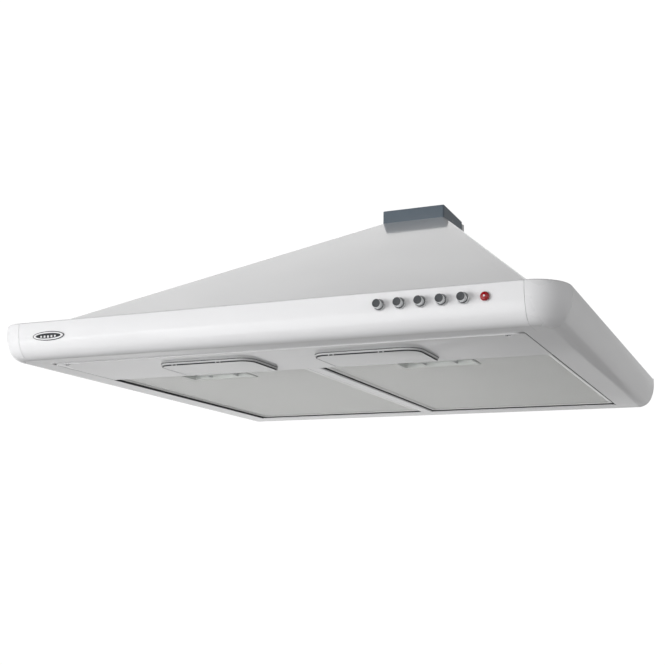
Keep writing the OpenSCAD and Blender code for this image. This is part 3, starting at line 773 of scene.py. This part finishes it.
def build_latch_springs(name):
    low, high = mm(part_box(f"latch_spring_{name}"))
    wire, coil_r, turns, per_turn = 0.35, 1.6, 8, 14
    steps = turns * per_turn
    springs = Shape()
    for s in (-1, 1):
        x, z = middle(CUPS[name]).x + s * 17, (low.z + high.z) / 2
        path = []
        for k in range(steps + 1):
            a = 2 * math.pi * k / per_turn
            y = low.y + wire + (high.y - low.y - 2 * wire) * k / steps
            path.append((x + coil_r * math.cos(a), y, z + coil_r * math.sin(a)))
        springs.tube(path, wire, 6)
    springs.make(f"latch_coils_{name}", "bright_steel", f"filter_{name}", f"latch_spring_{name}")


# ---- lamps ----
COVER_R = 16  # radius of a cover's two front corners
COVER_WALL = 1.2


def front_band(shape, name, section):
    """Sweeps (inset, height) points round the front and both ends of a lamp cover."""
    low, high = COVERS[name]
    back = high.y - 6
    rows = []
    for o, z in section:
        r = COVER_R - o
        path = [(low.x + o, back)] + arc(low.x + COVER_R, low.y + COVER_R, r, 180, 270, 10)
        path += arc(high.x - COVER_R, low.y + COVER_R, r, 270, 360, 10) + [(high.x - o, back)]
        rows.append([(x, y, z) for x, y in path])
    return shape.loft([list(ring) for ring in zip(*rows)])


def build_lamp_cover(name):
    low, high = COVERS[name]
    x0, x1, y0, y1, z0 = low.x, high.x, low.y, high.y, low.z
    z1, face_z, inner_z = UNDER - 0.3, z0 + 0.05, z0 + COVER_WALL
    outer = [(1.7, z1), (1.7, z0 + 0.6), (2.1, face_z), (20, face_z)]
    inner = [(20, inner_z), (4.6, inner_z), (3.4, inner_z + 0.2), (3, inner_z + 0.8), (3, z1)]
    rings = []
    for o, z in inner + outer:
        outline = rounded(x0 + o, x1 - o, y0 + o, y1 - o, max(3 - o, 0.2), max(COVER_R - o, 0.6))
        rings.append([(x, y, z) for x, y in outline])
    outer_rings, inner_rings = rings[len(inner):], rings[:len(inner)]
    cover = Shape().loft(outer_rings[::-1] + inner_rings[::-1])
    flutes = 38
    for i in range(flutes):
        x = x0 + COVER_R + (x1 - x0 - 2 * COVER_R) * (i + 0.5) / flutes
        cover.block(x - 0.45, x + 0.45, y0 + 4, y1 - 4, z0 + COVER_WALL * 0.8, inner_z + 0.7, 0.2)
    for s in (-1, 1):
        x = (x0 + x1) / 2 + s * 38
        cover.block(x - 5, x + 5, y1 - 4.5, y1 - 2, z0 + 1, high.z, 0.3)
    cover.make(f"lamp_lens_{name}", "clear_plastic", f"lamp_cover_{name}", f"lamp_cover_{name}")


def build_cover_trim(name):
    """The clear bezel, dark bands of painted shade and clips round the front of a lamp cover."""
    body = f"lamp_cover_{name}"
    low, high = COVERS[name]
    z0, z1 = low.z, UNDER - 0.3
    section = [(0, z1), (0, z0 + 1.5), (0.2, z0 + 1.15), (0.7, z0 + 1), (1.6, z0 + 1), (1.6, z1)]
    bezel = front_band(Shape(), name, section)
    bezel.make(f"lamp_bezel_{name}", "clear_plastic", body, f"lamp_cover_{name}")

    # Dark bands of painted shade: a line on the cover's face where the wall meets it, and a strip at its base
    # in the gap to the panel.
    shade_band = Shape()
    front_band(shade_band, name, [(1.3, z0 + 2.2), (1.4, z0 + 0.1), (1.6, z0), (2.3, z0), (2.5, z0 + 2.2)])
    base = [(0.1, z1 - 0.25), (-0.15, z1 - 0.2), (-0.15, z1 + 0.22), (1.2, z1 + 0.22), (1.2, z1 - 0.25)]
    front_band(shade_band, name, base)
    shade_band.make(f"lamp_shade_band_{name}", "dark_plastic", body)

    clips = Shape()
    for k in (0.2, 0.66):
        for dx in (-2.4, 2.4):
            x = low.x + (high.x - low.x) * k + dx
            clips.block(x - 0.7, x + 0.7, low.y + 1, low.y + 1.8, z0 + 0.1, z0 + 1.2, 0.1)
    clips.make(f"lamp_clips_{name}", "chrome_trim", body)


def build_lamp_box(name):
    low, high = mm(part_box(f"lamp_box_{name}"))
    top = high.z
    box = Shape()
    outside = [(0, low.z), (1, top - 3), (2, top - 1), (5, top), (20, top)]
    inside = [(20, top - 0.8), (5.4, top - 0.9), (2.9, top - 1.8), (1.9, top - 4), (0.9, low.z)]
    box.frame_sweep((low.x, high.x, low.y, high.y), outside + inside, 5)
    box.prism(rounded(low.x + 19, high.x - 19, low.y + 19, high.y - 19, 2), FLAT, top - 0.8, top)
    box.make(f"lamp_housing_{name}", "zinc_steel", replaces=f"lamp_box_{name}")


def along_x(box):
    """A frame at the left end of a box, along its middle, facing right. Also its length and radius."""
    low, high = box
    place = facing((low.x, (low.y + high.y) / 2, (low.z + high.z) / 2), (1, 0, 0))
    return place, high.x - low.x, (high.z - low.z) / 2


def build_lamp_holder(name):
    place, length, r = along_x(mm(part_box(f"lamp_holder_{name}")))
    holder = Shape()
    outside = [(5, 0), (r - 3, 0), (r - 1, 1.5), (r - 1, 8), (r, 9), (r, length - 1), (r - 1, length)]
    bore = [(9.4, length), (8.6, length - 1.5), (8.6, 6), (5, 6)]
    holder.lathe(outside + bore, place, loop=True)
    holder.make(f"lamp_socket_{name}", "white_ceramic", replaces=f"lamp_holder_{name}")


def build_bulb(name):
    place = along_x(mm(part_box(f"bulb_{name}")))[0]
    glass = Shape()
    belly = [(17 * math.cos(a), 62 + 34 * math.sin(a)) for a in radians_between(-55, 78, 22)]
    glass.lathe([(6.6, 24), (7.4, 27), (8.6, 30)] + belly + [(1.6, 95.6), (0.3, 96)], place, 40)
    glass.make(f"bulb_glass_{name}", "bulb_glass", replaces=f"bulb_{name}")

    cap = Shape()
    tip = [(0.3, 0), (2.6, 0.2), (3.2, 1.4), (5.4, 2.6), (6.6, 3.4)]
    thread = [(6.9 + 0.45 * math.sin(k * math.pi / 2), 4 + k * 0.62) for k in range(32)]
    cap.lathe(tip + thread + [(7.6, 24.2), (6.4, 24.4), (0.3, 24.4)], place, 40)
    cap.make(f"bulb_cap_{name}", "bright_steel")

    filament = Shape()
    for s in (-1, 1):
        filament.tube([place @ Vector((s * x, 0, h)) for x, h in ((1.5, 24), (2, 40), (6, 58))], 0.25, 6)
    zigzag = []
    for k in range(13):
        y, h = (1.5, 59.5) if k % 2 else (-1.5, 58)
        zigzag.append(place @ Vector((k - 6, y, h)))
    filament.tube(zigzag, 0.15, 5)
    filament.make(f"bulb_filament_{name}", "bright_steel")


# ---- controls ----
def build_buttons():
    low, high = BUTTONS["button_1"]
    reach, rear, r = FRONT - low.y, high.y - FRONT, BUTTON_R
    bore = [(2.4, -rear), (2.4, -1.6), (r - 0.2, -1.6), (r, -1.4)]
    neck = [(r, reach * 0.55), (r - 0.25, reach * 0.6), (r - 0.1, reach * 0.66), (r - 0.1, reach - 0.5)]
    rim = [(r - 0.2, reach - 0.12), (r - 0.35, reach), (r - 0.45, reach - 0.15)]
    recess = [(r - 0.5, reach - 1.1), (0.2, reach - 1.2)]
    back = [(0.2, reach - 1.1), (r - 0.55, reach - 1.1), (r - 0.55, reach - 0.3), (r - 0.75, reach - 0.2)]
    dish = [(x, reach - (0.5 - 0.03 * x * x)) for x in (2.9, 2, 1, 0.2)]
    for node, box in BUTTONS.items():
        barrel = Shape().lathe(bore + neck + rim + recess, on_front(box), 56)
        barrel.make(f"{node}_barrel", "chrome_trim", node, node)
        face = Shape().lathe(back + dish, on_front(box))
        face.make(f"{node}_face", "button_finish", node)


def build_sleeves():
    outer_r, bore_r = BUTTON_R + SLEEVE_WALL, BUTTON_R + 0.3
    flange = [(outer_r + 0.5, -0.1), (outer_r + 0.45, 0.35), (outer_r + 0.1, 0.75)]
    bore = [(bore_r + 0.3, 0.8), (bore_r, 0.5), (bore_r, -5)]
    sleeves = Shape()
    for box in BUTTONS.values():
        sleeves.lathe([(outer_r, -5), (outer_r, -0.2)] + flange + bore, on_front(box), loop=True)
    sleeves.make("button_collars", "chrome_trim", replaces="button_sleeves")


def build_indicator():
    low, high = INDICATOR
    dome_r, dome_h = (high.x - low.x) / 2, FRONT - low.y
    stem = [(0.2, -8), (3.45, -8), (3.45, -0.1), (dome_r, -0.05)]
    dome = [(dome_r * math.cos(a), 0.8 + (dome_h - 1) * math.sin(a)) for a in radians_between(0, 87, 12)]
    lens = Shape().lathe(stem + dome, on_front(INDICATOR))
    lens.make("indicator_dome", "red_lens", replaces="indicator_lens")
    # A small white dome in the middle of the lens: a painted highlight.
    glint = Shape()
    profile = [(0.9, dome_h - 1), (0.9, dome_h - 0.2), (0.6, dome_h - 0.05), (0.1, dome_h)]
    glint.lathe(profile, on_front(INDICATOR), 24)
    glint.make("indicator_painted_glint", "white_plastic")


def panel_sag(z):
    """How far the panel's front curves back at this height."""
    drop = max(RIM_TOP - BAND - z, 0)
    return UPPER_R - math.sqrt(UPPER_R**2 - drop**2)


def build_badge():
    """A plain oval plate in thin layers, with a row of bars in place of lettering."""
    low, high = mm(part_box("badge_plate"))
    centre = (low + high) / 2
    a, b = (high.x - low.x) / 2, (high.z - low.z) / 2

    def oval(across, up, depth):
        points = []
        for t in all_round(64):
            x, z = centre.x + a * across * math.cos(t), centre.z + b * up * math.sin(t)
            points.append((x, low.y + depth + panel_sag(z), z))
        return points

    for name, finish, replaced, rings in (
        ("badge_plate_base", "chrome_trim", "badge_plate", [(1, 1, 1.4), (1, 1, 0.5)]),
        ("badge_outline", "dark_plastic", (), [(0.995, 0.99, 0.6), (0.985, 0.96, 0.2)]),
        ("badge_band", "white_plastic", (), [(0.94, 0.82, 0.5), (0.94, 0.82, 0.16), (0.92, 0.78, 0.12)]),
        ("badge_field", "dark_plastic", (), [(0.80, 0.56, 0.3), (0.80, 0.56, 0.07)]),
    ):
        layer = Shape().loft([oval(*ring) for ring in rings + [(0.1, 0.1, rings[-1][2])]])
        layer.make(name, finish, replaces=replaced)
    bars = Shape()
    y = low.y + panel_sag(centre.z)
    for k in range(-2, 3):
        x, tall = centre.x + k * a * 0.22, b * (0.44 - 0.06 * abs(k))
        bars.block(x - a * 0.055, x + a * 0.055, y, y + 0.5, centre.z - tall, centre.z + tall, 0.1)
    bars.make("badge_bars", "white_plastic")


# ---- collar and damper ----
def build_collar():
    low, high = COLLAR
    wall, ledge, top = 2.4, 3, high.z
    ledge_z = middle(mm(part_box("damper_spindles"))).z - 2.9
    outside = [(0, low.z), (0, top - 0.9), (0.25, top - 0.25), (0.9, top), (wall - 0.6, top)]
    inside = [(wall, top - 0.6), (wall, ledge_z), (wall + ledge, ledge_z), (wall + ledge, low.z)]
    collar = Shape()
    collar.frame_sweep((low.x, high.x, low.y, high.y), outside + inside, 2.2)
    collar.make("duct_collar_body", "slate_plastic", replaces="duct_collar")


def build_flap(name, s):
    """A ribbed damper blade on a sleeve round its spindle."""
    low, high = mm(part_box(f"damper_flap_{name}"))
    sleeve_r, bore_r = 2.2, 1.25
    axis_y = (low.y + sleeve_r) if s > 0 else (high.y - sleeve_r)
    axis_z = (low.z + high.z) / 2
    y0, y1 = sorted((axis_y + s * 1.5, high.y if s > 0 else low.y))
    flap = Shape()
    flap.prism(rounded(low.x, high.x, y0, y1, 1.5), FLAT, axis_z - 0.5, axis_z + 0.5, 0.15)
    for k in range(1, 6):
        x = low.x + (high.x - low.x) * k / 6
        flap.block(x - 0.6, x + 0.6, y0 + 2, y1 - 2, axis_z + 0.4, axis_z + 1.4, 0.2)
    length = high.x - low.x
    outside = [(sleeve_r - 0.2, 0), (sleeve_r, 0.3), (sleeve_r, length - 0.3), (sleeve_r - 0.2, length)]
    place = facing((low.x, axis_y, axis_z), (1, 0, 0))
    flap.lathe([(bore_r, 0)] + outside + [(bore_r, length)], place, 28, loop=True)
    flap.make(f"flap_blade_{name}", "dark_plastic", f"flap_{name}", f"damper_flap_{name}")


# ---- fan ----
def build_fan_wheel():
    place, length, r = along_x(mm(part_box("fan_wheel")))
    wheel = Shape()
    hub = [(24, 2), (14, 12), (11, 18), (4, 18)]
    wheel.lathe([(4, 0), (r, 0), (r, 1), (r - 1, 2)] + hub, place, 72, loop=True)
    ring = [(r - 10, length - 3), (r, length - 3), (r, length - 0.4), (r - 0.6, length)]
    wheel.lathe(ring + [(r - 9.4, length), (r - 10, length - 0.5)], place, 72, loop=True)
    blades, steps = 36, 5
    for n in range(blades):
        turn = 2 * math.pi * n / blades
        upper, lower = [], []
        for h in (1, length / 2, length - 1.5):
            row_a, row_b = [], []
            for k in range(steps + 1):
                t = k / steps
                radius = r - 9.4 + 8.8 * t
                for row, thick in ((row_a, 0), (row_b, 0.7)):
                    angle = turn + 0.11 * t * t + thick / radius
                    row.append(place @ Vector((radius * math.cos(angle), radius * math.sin(angle), h)))
            upper.append(row_a)
            lower.append(row_b)
        wheel.slab(upper, lower)
    wheel.make("fan_rotor_wheel", "dark_plastic", "rotor", "fan_wheel")


def build_motor():
    low, high = mm(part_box("motor_body"))
    place = facing((high.x, (low.y + high.y) / 2, (low.z + high.z) / 2), (-1, 0, 0))
    length, r = high.x - low.x, (high.z - low.z) / 2
    drum = length - 6
    head = [(8, 0), (r - 4, 0), (r - 2, 2), (r - 2, 10)]
    bands = [(r, 11), (r, 15), (r - 1.5, 16), (r - 1.5, drum - 16), (r, drum - 15), (r, drum - 11)]
    tail = [(r - 2, drum - 10), (r - 4, drum - 3), (r - 10, drum)]
    boss = [(13, drum), (12, length - 0.5), (8, length)]
    motor = Shape()
    motor.lathe(head + bands + tail + boss, place, 64, loop=True)
    fins = 20
    for n in range(fins):
        spin = place @ Matrix.Rotation(2 * math.pi * n / fins, 4, "Z")
        motor.prism([(r - 5, -1), (r - 0.6, -0.7), (r - 0.6, 0.7), (r - 5, 1)], spin, 15.5, drum - 15.5)
    motor.make("motor_casing", "motor_paint", replaces="motor_body")

    bolts = Shape()
    for n in range(4):
        a = math.radians(45 + 90 * n)
        spot = place @ Vector(((r - 5) * math.cos(a), (r - 5) * math.sin(a), drum - 3.5))
        bolts.lathe([(3, 0), (3, 2.2), (2.4, 2.8)], facing(spot, (-1, 0, 0)), 6)
    bolts.make("motor_bolts", "bright_steel", sharp=20)


def build_capacitor():
    low, high = mm(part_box("capacitor"))
    x, y = low.x + 16, low.y + 16
    place = facing((x, y, low.z), (0, 0, 1))
    tall, r = high.z - low.z, 15.6
    can = Shape()
    base = [(0.3, 0), (14, 0), (r, 1.2), (r, 3), (15, 3.6), (r, 4.4)]
    lid = [(r, tall - 5), (14, tall - 3), (13.4, tall - 3.6), (0.3, tall - 3.6)]
    can.lathe(base + lid, place)
    for s in (-1, 1):
        tab = x + s * 5
        can.block(tab - 3.1, tab + 3.1, y - 0.4, y + 0.4, high.z - 4, high.z, 0.2)
    can.make("capacitor_can", "box_plastic", replaces="capacitor")
    strap = Shape()
    strap.lathe([(r + 0.1, 18), (r + 0.6, 18), (r + 0.6, 28), (r + 0.1, 28)], place, loop=True)
    strap.block(x - 10, x + 10, high.y - 1.2, high.y, low.z + 17, low.z + 29, 0.3)
    strap.make("capacitor_strap", "zinc_steel")


def build_terminal_box():
    low, high = mm(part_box("terminal_box"))
    upright = Matrix(((1, 0, 0, 0), (0, 0, 1, 0), (0, 1, 0, 0), (0, 0, 0, 1)))
    box = Shape()
    box.prism(rounded(low.x, high.x, low.z, high.z, 3), upright, low.y + 3, high.y, 0.8)
    lid = rounded(low.x + 1, high.x - 1, low.z + 1, high.z - 1, 2.5)
    box.prism(lid, upright, low.y, low.y + 3.4, 0.8)
    for k in range(6):
        x = low.x + 12 + k * 7
        box.block(x, x + 2, low.y, low.y + 1, low.z + 8, high.z - 8, 0.3)
    box.make("terminal_box_shell", "box_plastic", replaces="terminal_box")


def build_gland():
    """A cable gland square to the pyramid's side, with a ribbed cap and a hexagon nut."""
    lean = math.atan2(TOP_Z - RIM_TOP, BASE_HALF - TOP_HALF)
    normal = Vector((-math.sin(lean), 0, math.cos(lean)))
    place = facing(middle(mm(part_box("cable_gland"))) - normal * 4, normal)
    gland = Shape()
    base = [(4.5, -6), (9.3, -6), (9.3, -2.2), (7.4, -2), (7.4, 0)]
    ribs = [(7.2 + 0.3 * (k % 2), 5 + k * 0.6) for k in range(9)]
    cap = [(7, 11), (6.4, 13.6), (5.4, 14), (4.5, 13.4)]
    gland.lathe(base + ribs + cap, place, 40, loop=True)
    gland.lathe([(7, 0), (9.8, 0), (10.2, 0.6), (10.2, 4.4), (9.8, 5), (7, 5)], place, 6, loop=True)
    gland.make("cable_gland_body", "slate_plastic", replaces="cable_gland", sharp=25)


# ---- carried-over CAD nodes ----
DRESSED = {
    "zinc_steel": [
        "back_panel", "rear_hanger", "panel_brackets", "fan_housing", "fan_cheek_motor", "fan_cheek_inlet",
        "outlet_neck", "fan_brackets",
    ],
    "bright_steel": ["damper_spindles", "fan_shaft", "motor_bearings"],
    "filter_aluminium": ["filter_core_left", "filter_core_right"],
    "dark_plastic": ["switch_bank", "indicator_lamp"],
}


# ---- studio ----
BACKDROP = 1.03  # brightness of the white behind the hood
AMBIENT = 0.46  # of the studio at the horizon
ZENITH = 0.04  # of the studio overhead
BOUNCE = 0.38  # added below the backdrop
SIDE_FILL = 0.17  # added on the right
FRONT_FILL = 0.2  # added behind the camera


def build_world():
    """A white backdrop behind the hood and to its left, and a grey studio all round."""
    world = bpy.data.worlds.new("studio")
    bpy.context.scene.world = world
    world.use_nodes = True
    tree = world.node_tree
    sky = tree.nodes["Background"]
    place = tree.nodes.new("ShaderNodeTexCoord")
    split = tree.nodes.new("ShaderNodeSeparateXYZ")
    link(tree, place.outputs["Generated"], split.inputs["Vector"])

    def maths(operation, first, *others):
        """Chains a Math node's operation over two or more values."""
        for other in others:
            node = tree.nodes.new("ShaderNodeMath")
            node.operation = operation
            for socket, value in zip(node.inputs, (first, other)):
                if isinstance(value, (int, float)):
                    socket.default_value = value
                else:
                    link(tree, value, socket)
            first = node.outputs["Value"]
        return first

    def fade(value, start, stop):
        """A smooth step from 0 at start to 1 at stop."""
        node = tree.nodes.new("ShaderNodeMapRange")
        node.interpolation_type = "SMOOTHSTEP"
        node.inputs["From Min"].default_value = start
        node.inputs["From Max"].default_value = stop
        link(tree, value, node.inputs["Value"])
        return node.outputs["Result"]

    def towards(start, stop):
        """A smooth step over headings in degrees, with 0 at the wall and 90 on the right."""
        return fade(heading, math.radians(start), math.radians(stop))

    heading = maths("ARCTAN2", split.outputs["X"], split.outputs["Y"])
    height = split.outputs["Z"]
    above = fade(height, -0.15, -0.105)
    white = maths("MULTIPLY", towards(-80, -52), towards(12, -4), fade(height, 0.80, 0.50), above)
    dim = maths("MULTIPLY", fade(height, 0.75, 0.05), AMBIENT - ZENITH)
    bounce = maths("MULTIPLY", towards(-46, -34), towards(-10, -22), maths("SUBTRACT", 1, above), BOUNCE)
    side = maths("MULTIPLY", towards(15, 60), above, SIDE_FILL)
    turned = fade(maths("ABSOLUTE", heading, 0), math.radians(85), math.radians(130))
    ahead = maths("MULTIPLY", turned, fade(height, 0.5, 0.15), FRONT_FILL)
    grey = maths("ADD", dim, ZENITH, bounce, side, ahead)
    backdrop = maths("MULTIPLY", white, maths("SUBTRACT", BACKDROP, grey))
    link(tree, maths("ADD", grey, backdrop), sky.inputs["Color"])
    sky.inputs["Strength"].default_value = 1


LIGHTS = {  # place, target, size and power
    "key": ((-3.0, -3.4, -0.75), (-0.1, -0.5, -0.1), 2.2, 172),
    "spark": ((-0.7, -2.2, 0.7), (0, -0.5, 0), 0.16, 2.5),
    "card": ((-0.5, -1.8, -0.95), (0, -0.4, -0.1), 1.0, 3.4),
}


def build_lights():
    for name, (place, target, size, power) in LIGHTS.items():
        data = bpy.data.lights.new(name, "AREA")
        data.size = size
        data.energy = power
        lamp = bpy.data.objects.new(name, data)
        lamp.location = place
        lamp.rotation_mode = "QUATERNION"
        lamp.rotation_quaternion = (Vector(target) - Vector(place)).to_track_quat("-Z", "Y")
        lamp.visible_glossy = name != "key"
        lamp.visible_camera = False
        bpy.context.scene.collection.objects.link(lamp)


def build_floor():
    floor = Shape().lathe([(5000, -20), (5000, 0), (1, 0)], Matrix.Translation((0, -200, -1100)), 64)
    floor.make("studio_ground", "studio_floor", body=None)


CAMERA_PLACE = (0.4704, -1.3941, -0.2898)
CAMERA_HEADING, CAMERA_RISE, CAMERA_ROLL = 23.43, 11.80, 0.92  # degrees
SENSOR = 36
LENS_TO_SENSOR = 1.575188


def build_camera():
    data = bpy.data.cameras.new("camera")
    data.sensor_width = SENSOR
    data.lens = SENSOR * LENS_TO_SENSOR
    data.shift_x = -0.0247
    data.clip_start = 0.05
    camera = bpy.data.objects.new("camera", data)
    turn = Matrix.Translation(CAMERA_PLACE)
    for angle, axis in ((CAMERA_HEADING, "Z"), (90 + CAMERA_RISE, "X"), (CAMERA_ROLL, "Z")):
        turn = turn @ Matrix.Rotation(math.radians(angle), 4, axis)
    camera.matrix_world = turn
    scene = bpy.context.scene
    scene.collection.objects.link(camera)
    scene.camera = camera
    scene.view_settings.view_transform = "Standard"


build_front_panel()
for side_name, side_sign in SIDES.items():
    build_side_panel(side_name, side_sign)
    build_corner(side_name, side_sign)
build_canopy()
build_lamp_panel()
build_panel_screws()
build_gap_shade()
build_rear_rail()
build_centre_rail()
for side_name in SIDES:
    for build in (
        build_filter_frame, build_filter_mesh, build_handle_cup, build_latch, build_latch_springs,
        build_lamp_cover, build_cover_trim, build_lamp_box, build_lamp_holder, build_bulb,
    ):
        build(side_name)
build_buttons()
build_sleeves()
build_indicator()
build_badge()
build_collar()
for flap_name, flap_sign in (("front", -1), ("rear", 1)):
    build_flap(flap_name, flap_sign)
build_fan_wheel()
build_motor()
build_capacitor()
build_terminal_box()
build_gland()
for finish, nodes in DRESSED.items():
    for node in nodes:
        dress(node, finish)
build_floor()
build_world()
build_lights()
build_camera()
